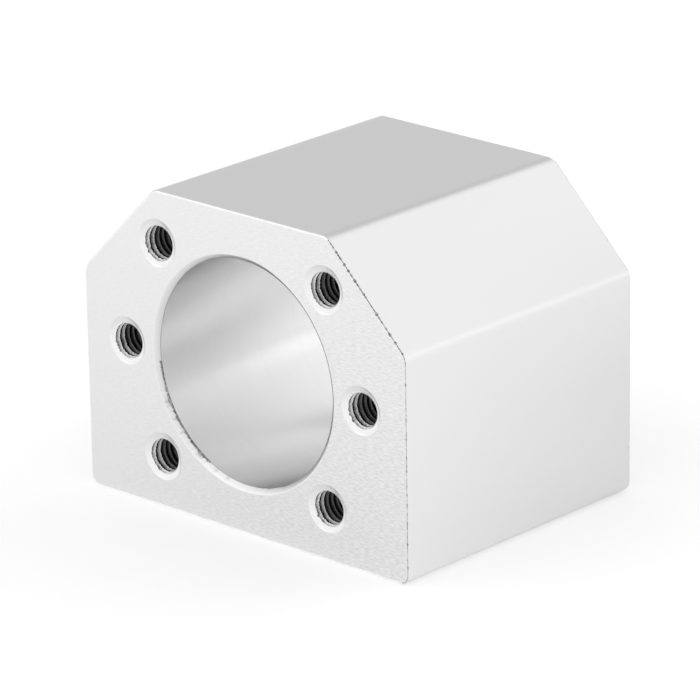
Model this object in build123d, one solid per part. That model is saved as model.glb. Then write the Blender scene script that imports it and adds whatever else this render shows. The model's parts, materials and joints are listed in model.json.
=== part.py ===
from build123d import *
from math import radians, tan
import os

# Ball screw nut housing: one block of aluminium bar, cut to length, faced, bored and tapped.
# X is the width, Y runs along the bore and Z is up. The origin is the middle of the base.
# The front, at -Y, is the face that the flange of the ball nut is screwed to.

# Block
width = 52.0
length = 40.0
height = 40.0
corner_cut = 12.0
upper_edge_radius = 2.0
base_edge_radius = 1.5
end_edge_break = 0.25

# Bore for the body of the ball nut
bore_height = 20.0
bore_diameter = 28.0
bore_mouth_chamfer = 0.8

# Tapped holes beside the bore, which hold the flange of the nut
flange_pitch_circle = 38.0
flange_hole_step = 45.0
flange_holes_a_side = 3
flange_drill_diameter = 4.2
flange_drill_depth = 15.0

# Tapped holes in the base, which hold the housing down on its carriage
base_hole_spacing_x = 40.0
base_hole_spacing_y = 24.0
base_drill_diameter = 4.2
base_drill_depth = 12.0

# Shape that the drill and the countersink leave in every tapped hole
countersink_width = 0.9
countersink_angle = 120.0
drill_point_angle = 118.0


def bar_profile():
    """End view of the bar: a rounded rectangle with its two top corners cut off at 45 degrees."""
    profile = Pos(0, height / 2) * Rectangle(width, height)
    profile = chamfer(profile.vertices().sort_by(Axis.Y)[-2:], corner_cut)
    profile = fillet(profile.vertices().sort_by(Axis.Y)[2:], upper_edge_radius)
    return fillet(profile.vertices().sort_by(Axis.Y)[:2], base_edge_radius)


def faced_block():
    """The bar at its finished length, with a fine break round the outline of both ends."""
    block = extrude(Plane.XZ * bar_profile(), length / 2, both=True)
    ends = block.faces().filter_by(Axis.Y)
    outlines = [edge for end in ends for edge in end.outer_wire().edges()]
    return chamfer(outlines, end_edge_break)


def bore_space():
    """What the boring bar takes out: the seat of the nut, chamfered at both mouths."""
    radius = bore_diameter / 2
    mouth_radius = radius + bore_mouth_chamfer
    half = length / 2
    section = Polyline(
        (0, -half),
        (mouth_radius, -half),
        (radius, bore_mouth_chamfer - half),
        (radius, half - bore_mouth_chamfer),
        (mouth_radius, half),
        (0, half),
        close=True,
    )
    return Pos(0, 0, bore_height) * revolve(make_face(section), Axis.Y)


def drilled_space(diameter, depth):
    """What a countersunk tapping hole takes out below z = 0, down to the cone of the drill point."""
    radius = diameter / 2
    countersink_depth = countersink_width / tan(radians(countersink_angle / 2))
    point_length = radius / tan(radians(drill_point_angle / 2))
    section = Polyline(
        (0, 0),
        (radius + countersink_width, 0),
        (radius, -countersink_depth),
        (radius, -depth),
        (0, -depth - point_length),
        close=True,
    )
    return revolve(Plane.XZ * make_face(section), Axis.Z)


def flange_hole_spaces():
    """Two sets of tapped holes, one each side of the bore, centred on the level of its axis."""
    front = Plane(origin=(0, -length / 2, bore_height), x_dir=(1, 0, 0), z_dir=(0, -1, 0))
    hole = drilled_space(flange_drill_diameter, flange_drill_depth)
    spread = flange_hole_step * (flange_holes_a_side - 1)
    spaces = []
    for side_angle in (0, 180):
        places = PolarLocations(
            flange_pitch_circle / 2,
            flange_holes_a_side,
            start_angle=side_angle - spread / 2,
            angular_range=spread,
            endpoint=True,
        )
        spaces += [front * place * hole for place in places]
    return spaces


def base_hole_spaces():
    """Four tapped holes at the corners of a rectangle under the base."""
    underside = Plane(origin=(0, 0, 0), x_dir=(1, 0, 0), z_dir=(0, 0, -1))
    hole = drilled_space(base_drill_diameter, base_drill_depth)
    places = GridLocations(base_hole_spacing_x, base_hole_spacing_y, 2, 2)
    return [underside * place * hole for place in places]


def housing():
    """The finished housing, which is one solid."""
    body = faced_block() - bore_space()
    return body - flange_hole_spaces() - base_hole_spaces()


os.makedirs("parts", exist_ok=True)
export_step(housing(), "parts/housing.step")
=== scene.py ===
import json
import math
import random

import bmesh
import bpy
from mathutils import Matrix, Vector


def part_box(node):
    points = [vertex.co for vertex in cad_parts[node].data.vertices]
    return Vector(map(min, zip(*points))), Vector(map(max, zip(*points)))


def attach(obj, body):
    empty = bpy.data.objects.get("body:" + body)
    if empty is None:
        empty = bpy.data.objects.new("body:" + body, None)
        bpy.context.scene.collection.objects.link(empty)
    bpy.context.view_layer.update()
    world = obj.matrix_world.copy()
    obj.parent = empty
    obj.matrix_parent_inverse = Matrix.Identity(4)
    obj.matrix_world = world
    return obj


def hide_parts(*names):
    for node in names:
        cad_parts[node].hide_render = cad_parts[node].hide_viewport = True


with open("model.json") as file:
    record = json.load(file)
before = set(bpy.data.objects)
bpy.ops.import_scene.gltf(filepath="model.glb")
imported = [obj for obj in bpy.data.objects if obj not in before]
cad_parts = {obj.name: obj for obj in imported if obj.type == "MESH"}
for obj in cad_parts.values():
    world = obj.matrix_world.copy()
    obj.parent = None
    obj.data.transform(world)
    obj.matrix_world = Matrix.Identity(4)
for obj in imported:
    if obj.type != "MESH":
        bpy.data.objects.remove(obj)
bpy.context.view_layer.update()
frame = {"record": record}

# The bar. A length of drawn aluminium bar, sawn off, milled flat and bead blasted at both ends,
# then clear anodised. Its long edges keep the round of the die. The ends get a fine edge break
# by hand, which is never quite even and leaves small nicks.
MM = 0.001
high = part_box("housing")[1]
half_width = high.x
half_length = high.y
block_height = high.z
corner_cut = 12 * MM
upper_edge_radius = 2 * MM
base_edge_radius = 1.5 * MM
outline_step = 0.22 * MM
edge_break = 0.28 * MM
cut_edge_break = 0.08 * MM
right_edge_break = 0.045 * MM
edge_break_turns = [math.radians(angle) for angle in (0, 30, 60, 90)]
edge_break_wander = 0.12
wander_points = 16
towards_right = 0.5
straight_right = 0.95
nick_chance = 0.25
nick_growth = 2.6
hand = random.Random(7)
noise_low = 0.3
noise_high = 0.7
side_grey = 0.822
# Painted shade on the bar's sides: darker low down towards the rear.
side_painted_shade = -0.105
side_full_painted_shade_height = 16 * MM
side_no_painted_shade_height = 36 * MM
face_grain = 0.075
# Painted shade on the end faces: darker towards the bottom.
face_painted_shade_height = 2 * MM
face_painted_shade_grey = 0.785
face_high_grey = 0.855
BAR_SIDE, END_FACE, EDGE_BREAK, NICKED_PAINTED_SHADE = range(4)


def metal(name, grey, roughness):
    """A bare metal surface with one grey level and one roughness, to which marks are added."""
    material = bpy.data.materials.new(name)
    material.use_nodes = True
    shader = material.node_tree.nodes["Principled BSDF"]
    shader.inputs["Base Color"].default_value = (grey, grey, grey, 1)
    shader.inputs["Metallic"].default_value = 1
    shader.inputs["Roughness"].default_value = roughness
    return material


def paint(material, grey):
    """Gives the metal a grey level that changes from place to place."""
    tree = material.node_tree
    tree.links.new(grey, tree.nodes["Principled BSDF"].inputs["Base Color"])


def along(owner, axis, measure="Object"):
    """The place along X, Y or Z. With the measure Normal it is how far the surface tilts that
    way, and with Generated, in the surroundings, the direction looked in."""
    tree = owner.node_tree
    place = tree.nodes.new("ShaderNodeTexCoord")
    split = tree.nodes.new("ShaderNodeSeparateXYZ")
    tree.links.new(place.outputs[measure], split.inputs["Vector"])
    return split.outputs[axis]


def ramp(owner, source, start, stop, first, last):
    """A value that runs evenly from first to last while the source goes from start to stop."""
    tree = owner.node_tree
    node = tree.nodes.new("ShaderNodeMapRange")
    node.inputs["From Min"].default_value = start
    node.inputs["From Max"].default_value = stop
    node.inputs["To Min"].default_value = first
    node.inputs["To Max"].default_value = last
    tree.links.new(source, node.inputs["Value"])
    return node.outputs["Result"]


def combine(owner, operation, one, other):
    """One value worked out from two others, each of which is a node's output or a number."""
    tree = owner.node_tree
    node = tree.nodes.new("ShaderNodeMath")
    node.operation = operation
    for place, value in enumerate((one, other)):
        if isinstance(value, float):
            node.inputs[place].default_value = value
        else:
            tree.links.new(value, node.inputs[place])
    return node.outputs["Value"]


def marks(material, size, detail=2):
    """Noise fixed to the housing whose marks are about size (x, y, z) long each way."""
    tree = material.node_tree
    place = tree.nodes.new("ShaderNodeTexCoord")
    stretch = tree.nodes.new("ShaderNodeMapping")
    stretch.inputs["Scale"].default_value = [1 / side for side in size]
    noise = tree.nodes.new("ShaderNodeTexNoise")
    noise.inputs["Scale"].default_value = 1
    noise.inputs["Detail"].default_value = detail
    tree.links.new(place.outputs["Object"], stretch.inputs["Vector"])
    tree.links.new(stretch.outputs["Vector"], noise.inputs["Vector"])
    return noise.outputs["Fac"]


def flecks(material, size, detail=2):
    """Marks that are as long one way as another."""
    return marks(material, (size, size, size), detail)


def spread(material, noise, least, most):
    """Turns the middle of a noise's range, where nearly all of it lies, into least to most."""
    return ramp(material, noise, noise_low, noise_high, least, most)


def relief(material, noise, depth, below=None):
    """Bumps of the given depth that follow a noise, laid over any bumps there already."""
    tree = material.node_tree
    bump = tree.nodes.new("ShaderNodeBump")
    bump.inputs["Distance"].default_value = depth
    tree.links.new(noise, bump.inputs["Height"])
    if below:
        tree.links.new(below, bump.inputs["Normal"])
    tree.links.new(bump.outputs["Normal"], tree.nodes["Principled BSDF"].inputs["Normal"])
    return bump.outputs["Normal"]


def bar_side_finish():
    """Drawn and anodised: a silky matt face, with painted shade that darkens it low down towards the rear.
    """
    material = metal("bar_side", grey=0.82, roughness=0.36)
    # Painted shade: the grey is darker low down towards the rear.
    rear = ramp(material, along(material, "Y"), -half_length, half_length, 0, 1)
    painted_shade_low_down = ramp(material, along(material, "Z"), side_full_painted_shade_height, side_no_painted_shade_height, side_painted_shade, 0)
    shade = combine(material, "MULTIPLY", rear, painted_shade_low_down)
    paint(material, combine(material, "ADD", shade, side_grey))
    die_lines = marks(material, size=(0.35 * MM, 30 * MM, 0.35 * MM))
    relief(material, die_lines, depth=0.00015 * MM)
    return material


def end_face_finish():
    """Milled, blasted and anodised: a fine grain over faint milling lines, stronger towards the lower
    right of the front, where the milling marks were deeper. Its grey has painted shade, darker
    towards the bottom."""
    material = metal("end_face", grey=0.82, roughness=0.42)
    grain = marks(material, size=(0.8 * MM, 0.8 * MM, 0.15 * MM), detail=1)
    right = ramp(material, along(material, "X"), -half_width, half_width, first=0.2, last=1.1)
    down = ramp(material, along(material, "Z"), 0, block_height, first=1.2, last=0.6)
    strength = combine(material, "MULTIPLY", right, down)
    contrast = spread(material, grain, -face_grain, face_grain)
    grains = combine(material, "MULTIPLY", contrast, strength)
    # Painted shade: the grey is darker towards the bottom of the face.
    height = along(material, "Z")
    level = ramp(material, height, face_painted_shade_height, block_height, face_painted_shade_grey, face_high_grey)
    paint(material, combine(material, "ADD", grains, level))
    milling_lines = marks(material, size=(7 * MM, 7 * MM, 0.22 * MM))
    below = relief(material, milling_lines, depth=0.005 * MM)
    relief(material, grain, depth=0.02 * MM, below=below)
    return material


def edge_break_finish():
    """Broken by hand after blasting: a smooth round, brighter than the faces it joins."""
    material = metal("edge_break", grey=0.93, roughness=0.22)
    paint(material, spread(material, flecks(material, size=0.6 * MM), least=0.9, most=0.97))
    return material


def nicked_edge_painted_shade_finish():
    """An edge that got only a light touch, with painted shade in the pits where the cutter tore small
    chips out.
    """
    material = metal("nicked_edge_painted_shade", grey=0.5, roughness=0.4)
    pits = flecks(material, size=0.3 * MM, detail=3)
    # Painted shade: the pits are painted nearly black.
    paint(material, spread(material, pits, least=0.02, most=0.6))
    return material


def corner_arc(before, corner, after, radius):
    """Points and outward directions of the round at one corner of the end view."""
    to_before = (before - corner).normalized()
    to_after = (after - corner).normalized()
    half_angle = to_before.angle(to_after) / 2
    centre = corner + (to_before + to_after).normalized() * radius / math.sin(half_angle)
    reach = radius / math.tan(half_angle)
    first = (corner + to_before * reach - centre).normalized()
    last = (corner + to_after * reach - centre).normalized()
    steps = math.ceil(radius * first.angle(last) / outline_step)
    outward = [first.slerp(last, step / steps) for step in range(steps + 1)]
    return [(centre + direction * radius, direction) for direction in outward]


def end_view():
    """The bar's outline in X and Z as close-set points, each with its outward direction."""
    shoulder = block_height - corner_cut
    corners = [
        (Vector((-half_width, 0)), base_edge_radius),
        (Vector((half_width, 0)), base_edge_radius),
        (Vector((half_width, shoulder)), upper_edge_radius),
        (Vector((half_width - corner_cut, block_height)), upper_edge_radius),
        (Vector((corner_cut - half_width, block_height)), upper_edge_radius),
        (Vector((-half_width, shoulder)), upper_edge_radius),
    ]
    arcs = []
    for place, (corner, radius) in enumerate(corners):
        before = corners[place - 1][0]
        after = corners[(place + 1) % len(corners)][0]
        arcs.append(corner_arc(before, corner, after, radius))
    points = []
    for place, arc in enumerate(arcs):
        start, outward = arc[-1]
        stop = arcs[(place + 1) % len(arcs)][0][0]
        steps = math.ceil((stop - start).length / outline_step)
        points += arc
        points += [(start.lerp(stop, step / steps), outward) for step in range(1, steps)]
    return points


def uneven_break(outline):
    """Width and finish of the edge break at each point of the outline. It wanders a little. The
    right side and its cut-off corner got only a light touch and are nicked, with painted shade
    in the nicks."""
    rough = [hand.uniform(-1, 1) for _ in outline]
    breaks = []
    for place, (_, outward) in enumerate(outline):
        wander = sum(rough[place - back] for back in range(wander_points)) / math.sqrt(wander_points)
        if outward.x < towards_right:
            width, nick, finish = edge_break, 0, EDGE_BREAK
        else:
            width = cut_edge_break if outward.x < straight_right else right_edge_break
            nick = width * nick_growth * hand.random() if hand.random() < nick_chance else 0
            finish = NICKED_PAINTED_SHADE
        breaks.append((width * (1 + edge_break_wander * wander) + nick, finish))
    return breaks


def bar_blank():
    """The bar cut to length: strips along its sides, a round break at each end, two flat ends."""
    outline = end_view()
    blank = bmesh.new()
    loops = []
    for end in (-1, 1):
        breaks = uneven_break(outline)
        rounds = []
        for turn in edge_break_turns:
            inwards = 1 - math.cos(turn)
            short = 1 - math.sin(turn)
            rounds.append([
                blank.verts.new((
                    point.x - outward.x * width * inwards,
                    end * (half_length - width * short),
                    point.y - outward.y * width * inwards,
                ))
                for (point, outward), (width, _) in zip(outline, breaks)
            ])
        loops += reversed(rounds) if end < 0 else rounds
        for near, far in zip(rounds, rounds[1:]):
            for place, (_, finish) in enumerate(breaks):
                strip = (near[place - 1], near[place], far[place], far[place - 1])
                blank.faces.new(strip).material_index = finish
    front_edge, rear_edge = loops[len(edge_break_turns) - 1: len(edge_break_turns) + 1]
    for place in range(len(outline)):
        strip = (front_edge[place - 1], front_edge[place], rear_edge[place], rear_edge[place - 1])
        blank.faces.new(strip).material_index = BAR_SIDE
    blank.faces.new(loops[0]).material_index = END_FACE
    blank.faces.new(loops[-1]).material_index = END_FACE
    bmesh.ops.recalc_face_normals(blank, faces=blank.faces)
    return blank


def as_object(name, shape):
    """Puts a finished bmesh in the scene, with the finishes made so far in its material slots."""
    mesh = bpy.data.meshes.new(name)
    shape.to_mesh(mesh)
    shape.free()
    for finish in finishes:
        mesh.materials.append(finish)
    made = bpy.data.objects.new(name, mesh)
    bpy.context.scene.collection.objects.link(made)
    return made


finishes = [bar_side_finish(), end_face_finish(), edge_break_finish(), nicked_edge_painted_shade_finish()]
housing = as_object("nut_housing", bar_blank())


# The bore. It is turned through the block for the body of the ball nut. Its mouths are
# chamfered and then blasted with the ends, which softens their edges. The wall between them
# is straight, and it tore a little at the lower left where it meets the chamfers.
mounts = {mount["name"]: mount for mount in frame["record"]["mounts"]}
nut_bore = mounts["nut_bore"]
bore_height = nut_bore["pos_m"][2]
bore_radius = nut_bore["dims"]["r_mm"] * MM
mouth_section_mm = [(0.74, 0), (0.63, 0.025), (0.54, 0.08), (0.1, 0.54), (0.03, 0.62), (0, 0.72)]
burr_ring = 4
burr_width = 0.3 * MM
torn_side = math.radians(216)
least_torn = 0.15
nicked_from = 0.8
bore_sides = 448
cutter_overshoot = 1 * MM
overshoot_rise = cutter_overshoot / 5
# Painted shade on the bore mouths, next to the wall and round the upper right.
mouth_painted_shade_width = 0.7 * MM
towards_upper_right = (0.87, 0, 0.5)
BORE_WALL, BORE_MOUTH = range(4, 6)


def bore_wall_finish():
    """Turned: fine feed marks run round the bore and draw its reflections out along the axis."""
    material = metal("bore_wall", grey=0.9, roughness=0.3)
    tree = material.node_tree
    shader = tree.nodes["Principled BSDF"]
    shader.inputs["Anisotropic"].default_value = 0.8
    shader.inputs["Anisotropic Rotation"].default_value = 0.25
    round_axis = tree.nodes.new("ShaderNodeTangent")
    round_axis.direction_type = "RADIAL"
    round_axis.axis = "Y"
    tree.links.new(round_axis.outputs["Tangent"], shader.inputs["Tangent"])
    feed_marks = marks(material, size=(20 * MM, 0.25 * MM, 20 * MM))
    paint(material, spread(material, feed_marks, least=0.89, most=0.91))
    relief(material, feed_marks, depth=0.0004 * MM)
    return material


def bore_mouth_finish():
    """Blasted like the end faces. Its grey has painted shade next to the wall and round its upper
    right, a painted highlight along its bottom and painted shade where it faces down."""
    material = metal("bore_mouth", grey=0.8, roughness=0.36)
    tree = material.node_tree
    place = tree.nodes.new("ShaderNodeTexCoord")
    from_axis = tree.nodes.new("ShaderNodeVectorMath")
    from_axis.operation = "MULTIPLY_ADD"
    from_axis.inputs[1].default_value = (1, 0, 1)
    from_axis.inputs[2].default_value = (0, 0, -bore_height)
    radius = tree.nodes.new("ShaderNodeVectorMath")
    radius.operation = "LENGTH"
    upper_right = tree.nodes.new("ShaderNodeVectorMath")
    upper_right.operation = "DOT_PRODUCT"
    upper_right.inputs[1].default_value = towards_upper_right
    tree.links.new(place.outputs["Object"], from_axis.inputs[0])
    tree.links.new(from_axis.outputs["Vector"], radius.inputs[0])
    tree.links.new(from_axis.outputs["Vector"], upper_right.inputs[0])
    distance = radius.outputs["Value"]
    # Painted shade: darker next to the wall.
    wall_painted_shade = ramp(material, distance, bore_radius, bore_radius + mouth_painted_shade_width, first=0.68, last=0.9)
    # Painted shade: darker round the upper right.
    dark = ramp(material, upper_right.outputs["Value"], start=7 * MM, stop=11 * MM, first=1, last=0.3)
    tilt = along(material, "Z", "Normal")
    # Painted highlight where the surface faces up, along the bottom, and painted shade where it faces
    # down.
    mouth_painted_light = ramp(material, tilt, start=0.1, stop=0.5, first=0.94, last=1.06)
    mouth_painted_shade = combine(material, "MULTIPLY", wall_painted_shade, dark)
    paint(material, combine(material, "MULTIPLY", mouth_painted_shade, mouth_painted_light))
    relief(material, flecks(material, size=0.2 * MM), depth=0.003 * MM)
    return material


def torn(angle):
    """How much the metal tore at an angle round a hole: a little, and more at the lower left."""
    return least_torn + (1 - least_torn) * max(0, math.cos(angle - torn_side)) ** 2


def lathe(section, strip_finishes, sides, to_place, uneven_rings=(), unevenness=0, nicked_strips=()):
    """Turns a section of (radius, height) points about an axis and closes both ends. The uneven
    rings are torn outwards by up to the given amount, and the nicked strips get painted shade
    where the metal tore most."""
    shape = bmesh.new()
    rings = []
    for place, (radius, height) in enumerate(section):
        tear = unevenness if place in uneven_rings else 0
        ring = []
        for side in range(sides):
            angle = 2 * math.pi * side / sides
            reach = radius + tear * torn(angle) * hand.random()
            point = Vector((reach * math.cos(angle), reach * math.sin(angle), height))
            ring.append(shape.verts.new(to_place @ point))
        rings.append(ring)
    for strip, (upper, lower, finish) in enumerate(zip(rings, rings[1:], strip_finishes)):
        for side in range(sides):
            facet = (upper[side - 1], upper[side], lower[side], lower[side - 1])
            # Painted shade on the nicked strips where the metal tore most.
            nicked = strip in nicked_strips and torn(2 * math.pi * side / sides) > nicked_from
            shape.faces.new(facet).material_index = NICKED_PAINTED_SHADE if nicked else finish
    shape.faces.new(rings[0]).material_index = strip_finishes[0]
    shape.faces.new(rings[-1]).material_index = strip_finishes[-1]
    bmesh.ops.recalc_face_normals(shape, faces=shape.faces)
    return shape


def cut(body, tool):
    """Takes the tool's volume out of the body for good, and the tool out of the scene."""
    step = body.modifiers.new("cut", "BOOLEAN")
    step.object = tool
    step.operation = "DIFFERENCE"
    step.solver = "EXACT"
    step.material_mode = "TRANSFER"
    settled = bpy.context.evaluated_depsgraph_get()
    mesh = bpy.data.meshes.new_from_object(body.evaluated_get(settled))
    body.modifiers.clear()
    body.data = mesh
    bpy.data.objects.remove(tool)


def worn_chamfer(radius):
    """Section of a chamfer with softened edges, as (radius, height) from outside in. It starts
    just outside the block, so that the tool cuts clear through the face."""
    section = [(radius + out * MM, -deep * MM) for out, deep in mouth_section_mm]
    start_radius, start_height = section[0]
    outside = (start_radius + cutter_overshoot, start_height + overshoot_rise)
    return [outside] + section


def bore_tool():
    """The bore's space along Y: a mouth at each end and the straight wall between them."""
    section = [(radius, half_length + height) for radius, height in worn_chamfer(bore_radius)]
    strip_finishes = [BORE_MOUTH] * (len(section) - 1)
    section += [(radius, -height) for radius, height in reversed(section)]
    strip_finishes += [BORE_WALL] + strip_finishes[::-1]
    along_y = Matrix.Translation((0, 0, bore_height)) @ Matrix.Rotation(math.radians(90), 4, "X")
    rear_burr = len(section) - 1 - burr_ring
    # The strips beside each burr ring get painted shade where the metal tore most.
    nicked = (burr_ring, burr_ring + 1, rear_burr - 2, rear_burr - 1)
    return lathe(section, strip_finishes, bore_sides, along_y, (burr_ring, rear_burr), burr_width, nicked)


finishes += [bore_wall_finish(), bore_mouth_finish()]
cut(housing, as_object("bore_tool", bore_tool()))


# The tapped holes. Six M5 holes in the front face take the screws of the nut's flange, and
# four in the base hold the housing down. Each is drilled blind, countersunk, then cut with
# a 0.8 mm pitch thread that stops short of the drill's cone.
thread_pitch = 0.8 * MM
thread_major_radius = 2.5 * MM
root_flat = thread_pitch / 8
flank_angle = math.radians(30)
hole_sides = 96
countersink_radius = 3 * MM
countersink_step = 0.03 * MM
countersink_chatter = 0.07 * MM
countersink_slope = math.radians(12)
drill_point = math.radians(118 / 2)
unthreaded = 3 * MM
clear_of_thread = thread_pitch / 4
first_crest_depth = 0.19 * MM
torn_crest = 0.28 * MM
tear_reach = 1.4
tear_fade_turns = 5
least_tear = 0.1
tap = random.Random(11)
flange_drill_depth = 15 * MM
base_drill_depth = 12 * MM
spare_turns = 2
# Painted shade in the tapped holes, darker deeper in.
thread_unshaded_depth = 1.2 * MM
thread_painted_shade_depth = 2.4 * MM
thread_unshaded_grey = 0.85
thread_painted_shade_grey = 0.13
crease_angle = math.radians(35)
COUNTERSINK, THREAD, TORN_CREST_PAINTED_SHADE = range(6, 9)


def countersink_finish():
    """Cut with a single turn of the tool. Its grey has a painted highlight on its lower side and painted
    shade on its upper side.
    """
    material = metal("countersink", grey=0.85, roughness=0.38)
    tilt = along(material, "Z", "Normal")
    # Painted light and shade: lighter where the surface faces up, darker where it faces down.
    paint(material, ramp(material, tilt, start=-0.3, stop=0.2, first=0.77, last=0.93))
    relief(material, flecks(material, size=0.2 * MM), depth=0.003 * MM)
    return material


def thread_finish():
    """Tapped: bright at the mouth and darker further in with painted shade, whether the hole runs
    in from the front or up from the base."""
    material = metal("thread", grey=0.4, roughness=0.38)
    levels = []
    # Painted shade: the grey darkens with depth into the hole.
    for axis, mouth in (("Y", -half_length), ("Z", 0)):
        bright = mouth + thread_unshaded_depth
        dark = mouth + thread_painted_shade_depth
        place = along(material, axis)
        levels.append(ramp(material, place, bright, dark, thread_unshaded_grey, thread_painted_shade_grey))
    level = combine(material, "MAXIMUM", *levels)
    pits = flecks(material, size=0.15 * MM, detail=3)
    patchy = spread(material, pits, least=0.6, most=1.1)
    paint(material, combine(material, "MULTIPLY", level, patchy))
    relief(material, pits, depth=0.01 * MM)
    return material


def torn_crest_painted_shade_finish():
    """The tops of the thread, which the tap tore: rough and dull, and nearly black with painted shade in
    uneven pits.
    """
    material = metal("torn_crest", grey=0.3, roughness=0.5)
    pits = flecks(material, size=0.15 * MM, detail=3)
    # Painted shade: the crests are painted nearly black.
    paint(material, spread(material, pits, least=0.02, most=0.2))
    relief(material, pits, depth=0.01 * MM)
    return material


def countersink_section(inner_radius):
    """Section of a countersink, as (radius, height) from outside in. The tool leaves a small
    step round its rim and a shallow dish that runs down to the drilled wall."""
    rim = countersink_radius - countersink_step
    dish_depth = (rim - inner_radius) * math.tan(countersink_slope)
    return [
        (countersink_radius + cutter_overshoot, cutter_overshoot),
        (rim, -countersink_step),
        (inner_radius, -countersink_step - dish_depth),
    ]


def thread_section(minor_radius):
    """One pitch of the thread, as (radius, rise) points: a flat crest, then a flat root."""
    flank = (thread_major_radius - minor_radius) * math.tan(flank_angle)
    crest_flat = thread_pitch - 2 * flank - root_flat
    return [
        (minor_radius, 0),
        (minor_radius, crest_flat),
        (thread_major_radius, crest_flat + flank),
        (thread_major_radius, crest_flat + flank + root_flat),
    ]


def tap_start(minor_radius, drill_depth):
    """The angle at which the tap enters. The machine starts every hole alike, so that the first
    crest on the left of the hole lies at the same depth."""
    crest_middle = thread_section(minor_radius)[1][1] / 2
    rise = -first_crest_depth - (unthreaded - drill_depth) - crest_middle
    return math.pi - 2 * math.pi * rise / thread_pitch


def tap_space(minor_radius, drill_depth, to_place):
    """What the drill and the tap take out: a helical wall, then plain wall and drill cone."""
    shape = bmesh.new()
    section = thread_section(minor_radius)
    thread_foot = unthreaded - drill_depth
    turns = math.ceil((cutter_overshoot - thread_foot) / thread_pitch)
    start_angle = tap_start(minor_radius, drill_depth)
    angles = [start_angle + 2 * math.pi * side / hole_sides for side in range(hole_sides)]

    def ring_point(radius, side, height):
        angle = angles[side]
        point = Vector((radius * math.cos(angle), radius * math.sin(angle), height))
        return shape.verts.new(to_place @ point)

    def plain_ring(radius, height):
        return [ring_point(radius, side, height) for side in range(hole_sides)]

    rows = []
    for turn in range(turns):
        near_mouth = max(least_tear, min(1, tear_reach - (turns - turn) / tear_fade_turns))
        tears = [torn_crest * near_mouth * torn(angle) * tap.random() ** 2 for angle in angles]
        tears[0] = tears[-1] = 0
        for radius, rise in section:
            foot = thread_foot + turn * thread_pitch + rise
            row = []
            for side in range(hole_sides):
                climb = foot + thread_pitch * side / hole_sides
                tear = tears[side] if radius == minor_radius else 0
                row.append(ring_point(radius + tear, side, climb))
            rows.append(row)
    step = len(section)
    facets = []
    for lower, upper in zip(rows, rows[1:]):
        facets.append([
            shape.faces.new((lower[side - 1], lower[side], upper[side], upper[side - 1]))
            for side in range(1, hole_sides)
        ])
    for place in range(len(rows) - step - 1):
        seam = (rows[place][-1], rows[place + step][0], rows[place + step + 1][0], rows[place + 1][-1])
        facets[place].append(shape.faces.new(seam))

    foot_ring = plain_ring(minor_radius, thread_foot - clear_of_thread)
    top_ring = plain_ring(minor_radius, thread_foot + (turns + spare_turns) * thread_pitch)
    for side in range(1, hole_sides):
        shape.faces.new((foot_ring[side - 1], foot_ring[side], rows[0][side], rows[0][side - 1]))
        shape.faces.new((top_ring[side - 1], top_ring[side], rows[-1][side], rows[-1][side - 1]))
    foot_step = [row[0] for row in rows[1: step + 1]]
    shape.faces.new(foot_step)
    shape.faces.new((foot_ring[-1], foot_ring[0], rows[0][0], foot_step[0], foot_step[-1], rows[0][-1]))
    top_step = [row[-1] for row in rows[-step - 1: -1]]
    shape.faces.new(top_step)
    shape.faces.new((top_ring[-1], top_ring[0], rows[-1][0], top_step[0], top_step[-1], rows[-1][-1]))
    drill_ring = plain_ring(minor_radius, -drill_depth)
    for side in range(hole_sides):
        shape.faces.new((foot_ring[side - 1], foot_ring[side], drill_ring[side], drill_ring[side - 1]))
    point = shape.verts.new(to_place @ Vector((0, 0, -drill_depth - minor_radius / math.tan(drill_point))))
    for side in range(hole_sides):
        shape.faces.new((drill_ring[side - 1], drill_ring[side], point))
    shape.faces.new(top_ring)
    for face in shape.faces:
        face.material_index = THREAD
    # The crest flats get the torn crest's painted shade.
    for crest in facets[::step]:
        for face in crest:
            face.material_index = TORN_CREST_PAINTED_SHADE
    bmesh.ops.recalc_face_normals(shape, faces=shape.faces)
    return shape


def hole_places():
    """Where each tapped hole's mouth is and which way it faces, with its radius and depth."""
    front = Matrix.Translation((0, -half_length, bore_height)) @ Matrix.Rotation(math.radians(90), 4, "X")
    under = Matrix.Rotation(math.radians(180), 4, "X")
    square = mounts["flange_screws_square"]["dims"]
    level = mounts["flange_screws_level"]["dims"]
    base = mounts["base_screws"]["dims"]
    places = []
    for side in (-1, 1):
        across = side * level["spacing_x_mm"] / 2 * MM
        places.append((front @ Matrix.Translation((across, 0, 0)), level, flange_drill_depth))
        for up in (-1, 1):
            corner = (side * square["spacing_x_mm"] / 2 * MM, up * square["spacing_y_mm"] / 2 * MM, 0)
            places.append((front @ Matrix.Translation(corner), square, flange_drill_depth))
            corner = (side * base["spacing_x_mm"] / 2 * MM, up * base["spacing_y_mm"] / 2 * MM, 0)
            places.append((under @ Matrix.Translation(corner), base, base_drill_depth))
    return [(place, dims["hole_r_mm"] * MM, depth) for place, dims, depth in places]


finishes += [countersink_finish(), thread_finish(), torn_crest_painted_shade_finish()]
for place, minor_radius, depth in hole_places():
    section = countersink_section(minor_radius / 2)
    sink = lathe(section, [COUNTERSINK, COUNTERSINK], hole_sides, place, [1], countersink_chatter)
    cut(housing, as_object("countersink_tool", sink))
    cut(housing, as_object("tap_tool", tap_space(minor_radius, depth, place)))

housing.data.shade_smooth()
housing.data.set_sharp_from_angle(angle=crease_angle)
flatten = housing.modifiers.new("flat_faces_stay_flat", "WEIGHTED_NORMAL")
flatten.keep_sharp = True
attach(housing, "root")
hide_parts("housing")


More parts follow.
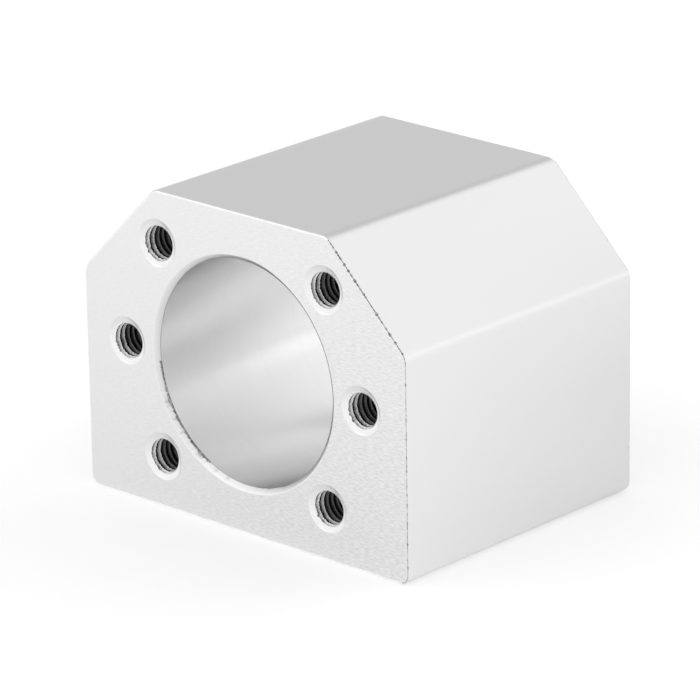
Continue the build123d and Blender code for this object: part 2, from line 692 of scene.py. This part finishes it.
# The studio floor: matt white, and lifted a little where it is seen or mirrored, so that it
# comes out white but keeps the housing's shadow. It is open under the flat of the base, so
# that the base can be looked at from below.
floor_reach = 3
floor_grey = 0.94
floor_lift = 0.265
opening_margin = 0.3 * MM
open_across = half_width - base_edge_radius
open_along = half_length - opening_margin
corner_signs = [(-1, -1), (1, -1), (1, 1), (-1, 1)]
floor_corners = [(floor_reach * x, floor_reach * y, 0) for x, y in corner_signs]
floor_corners += [(open_across * x, open_along * y, 0) for x, y in corner_signs]
floor_strips = [(0, 1, 5, 4), (1, 2, 6, 5), (2, 3, 7, 6), (3, 0, 4, 7)]
floor_mesh = bpy.data.meshes.new("floor")
floor_mesh.from_pydata(floor_corners, [], floor_strips)
floor = bpy.data.objects.new("floor", floor_mesh)
bpy.context.scene.collection.objects.link(floor)

floor_paint = bpy.data.materials.new("floor")
floor_paint.use_nodes = True
floor_tree = floor_paint.node_tree
floor_shader = floor_tree.nodes["Principled BSDF"]
floor_shader.inputs["Base Color"].default_value = (floor_grey, floor_grey, floor_grey, 1)
floor_shader.inputs["Roughness"].default_value = 0.9
floor_shader.inputs["Specular IOR Level"].default_value = 0
floor_shader.inputs["Emission Color"].default_value = (1, 1, 1, 1)
ray = floor_tree.nodes.new("ShaderNodeLightPath").outputs
seen = combine(floor_paint, "MAXIMUM", ray["Is Camera Ray"], ray["Is Glossy Ray"])
seen = combine(floor_paint, "MAXIMUM", seen, ray["Is Transmission Ray"])
lift = combine(floor_paint, "MULTIPLY", seen, floor_lift)
floor_tree.links.new(lift, floor_shader.inputs["Emission Strength"])
floor_mesh.materials.append(floor_paint)


# The light tent round the floor: white cloth that glows by itself. It is pale low down all
# round and in front, and darker overhead and behind, which gives the top its darker grey.
tent_pale = 0.94
tent_dark = 0.64
tent_front = -0.6
tent_middle = 0.1
tent_roof = 0.4
tent = bpy.data.worlds.new("tent")
bpy.context.scene.world = tent
tent.use_nodes = True
behind = ramp(tent, along(tent, "Y", "Generated"), tent_front, tent_middle, 0, 1)
overhead = combine(tent, "MULTIPLY", along(tent, "Z", "Generated"), behind)
cloth = ramp(tent, overhead, 0, tent_roof, tent_pale, tent_dark)
tent.node_tree.links.new(cloth, tent.node_tree.nodes["Background"].inputs["Color"])


# The soft panels in the tent: square lit cloths on stands, turned towards the housing. One is
# at the left, one behind, which lights the cut-off corner, and a small one low down behind
# the right side draws the bright line along the rounded edge below that corner.
panel_distance = 0.8
middle = Vector((0, 0, block_height / 2))


def direction_to(azimuth, elevation):
    """Unit vector towards a place round the object: 0 is in front of it, 90 is its +X side."""
    a = math.radians(azimuth)
    e = math.radians(elevation)
    return Vector((math.sin(a) * math.cos(e), -math.cos(a) * math.cos(e), math.sin(e)))


def soft_panel(name, azimuth, elevation, size, glow):
    """A square panel with an even glow, where 1 is the level of white. It faces the middle."""
    lamp = bpy.data.lights.new(name, "AREA")
    lamp.size = size
    lamp.energy = glow * math.pi * size * size
    panel = bpy.data.objects.new(name, lamp)
    bpy.context.scene.collection.objects.link(panel)
    panel.location = middle + direction_to(azimuth, elevation) * panel_distance
    panel.rotation_euler = (middle - panel.location).to_track_quat("-Z", "Y").to_euler()


soft_panel("left_panel", azimuth=-45, elevation=45, size=0.8, glow=0.27)
soft_panel("back_panel", azimuth=150, elevation=34, size=0.8, glow=0.46)
soft_panel("side_panel", azimuth=129, elevation=7, size=0.34, glow=0.2)


# The camera: a long lens, at the photograph's viewing angle, distance and slight roll, aimed
# a little below and left of the middle of the housing, as the photograph is framed.
camera_azimuth = 42.96
camera_elevation = 19.38
camera_roll = math.radians(-0.93)
camera_distance = 597.4 * MM
aim_across = -0.83 * MM
aim_up = -2.15 * MM
focal_length_px = 4972.45
image_width_px = 700
lens = bpy.data.cameras.new("camera")
lens.sensor_width = 36
lens.lens = focal_length_px * lens.sensor_width / image_width_px
lens.clip_start = 0.01
lens.clip_end = 20
camera = bpy.data.objects.new("camera", lens)
bpy.context.scene.collection.objects.link(camera)
back = direction_to(camera_azimuth, camera_elevation)
level_turn = (-back).to_track_quat("-Z", "Y")
turn = level_turn @ Matrix.Rotation(camera_roll, 3, "Z").to_quaternion()
aim = middle + turn @ Vector((aim_across, aim_up, 0))
camera.location = aim + back * camera_distance
camera.rotation_euler = turn.to_euler()
bpy.context.scene.camera = camera
bpy.context.scene.view_settings.view_transform = "Standard"
